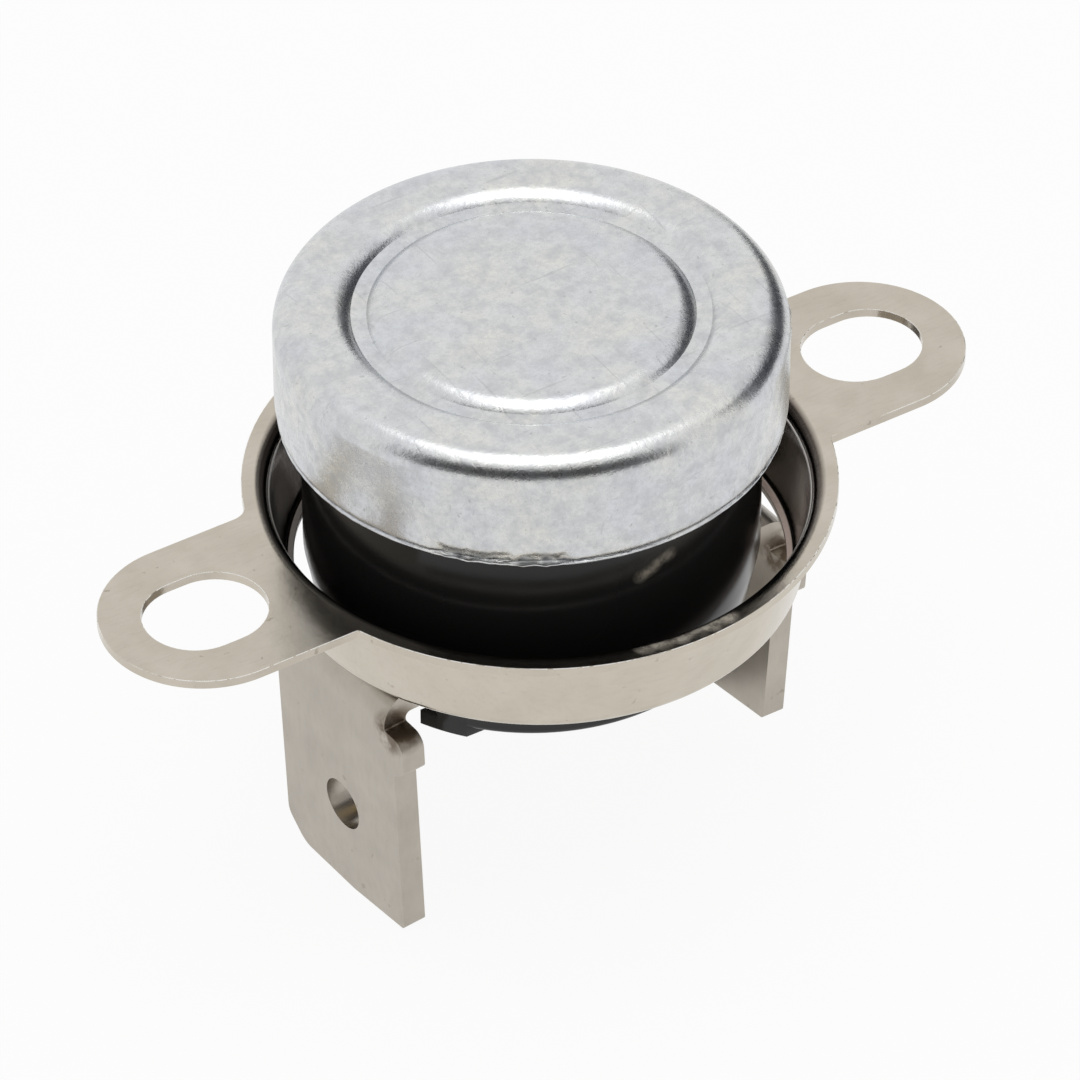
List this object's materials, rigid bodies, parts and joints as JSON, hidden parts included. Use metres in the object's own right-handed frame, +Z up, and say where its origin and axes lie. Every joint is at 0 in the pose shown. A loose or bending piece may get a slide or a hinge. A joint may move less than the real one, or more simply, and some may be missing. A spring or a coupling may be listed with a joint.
{
  "type": "dryer safety thermostat",
  "caption": "Round snap-disc thermostat with a grooved metal cap on a black housing, push-on blade terminals below and a loose dished bracket with slotted ears.",
  "frame": {"origin": "middle between the two ear slots, on the bracket's top face", "axes": "+X along the ears, +Z up through the cap's face"},
  "size_m": [0.0306, 0.0184, 0.0196],
  "materials": {
    "cap_aluminium": "satin, fine mottling and drawing marks",
    "bimetal": "rolled",
    "guide_phenolic": "matt moulding",
    "pin_ceramic": "ground",
    "housing_phenolic": "glossy black moulding",
    "spring_bronze": "rolled strip",
    "contact_silver": "bright",
    "strip_brass": "rolled strip",
    "rivet_brass": "upset",
    "terminal_plated": "dull nickel or tin plating",
    "bracket_steel": "satin nickel plating"
  },
  "bodies": {
    "housing_group": {"housing": "housing_phenolic", "cap": "cap_aluminium", "bimetal_disc": "bimetal", "pin_guide": "guide_phenolic", "fixed_contact_strip": "strip_brass", "fixed_contact": "contact_silver", "arm_rivet": "rivet_brass", "strip_rivet": "rivet_brass", "arm_terminal": "terminal_plated", "strip_terminal": "terminal_plated"},
    "pin": {"transfer_pin": "pin_ceramic"},
    "arm": {"contact_arm": "spring_bronze", "moving_contact": "contact_silver"},
    "bracket": {"mounting_bracket": "bracket_steel"}
  },
  "joints": [
    {"name": "bracket_swivel", "type": "hinge", "parent": "housing_group", "child": "bracket", "pos_m": [0, 0, 0], "axis": [0, 0, 1], "continuous": true},
    {"name": "pin_travel", "type": "slide", "parent": "housing_group", "child": "pin", "axis": [0, 0, -1], "range_m": [0, 0.00025], "stiffness_N_per_m": 200},
    {"name": "arm_flex", "type": "hinge", "parent": "housing_group", "child": "arm", "pos_m": [-0.00383, -0.00009, -0.00183], "axis": [-0.0523, 0.9986, 0], "range_deg": [0, 4]}
  ],
  "couplings": [
    {"joint": "arm_flex", "follows": "pin_travel", "rad_per_m": 277.8}
  ]
}
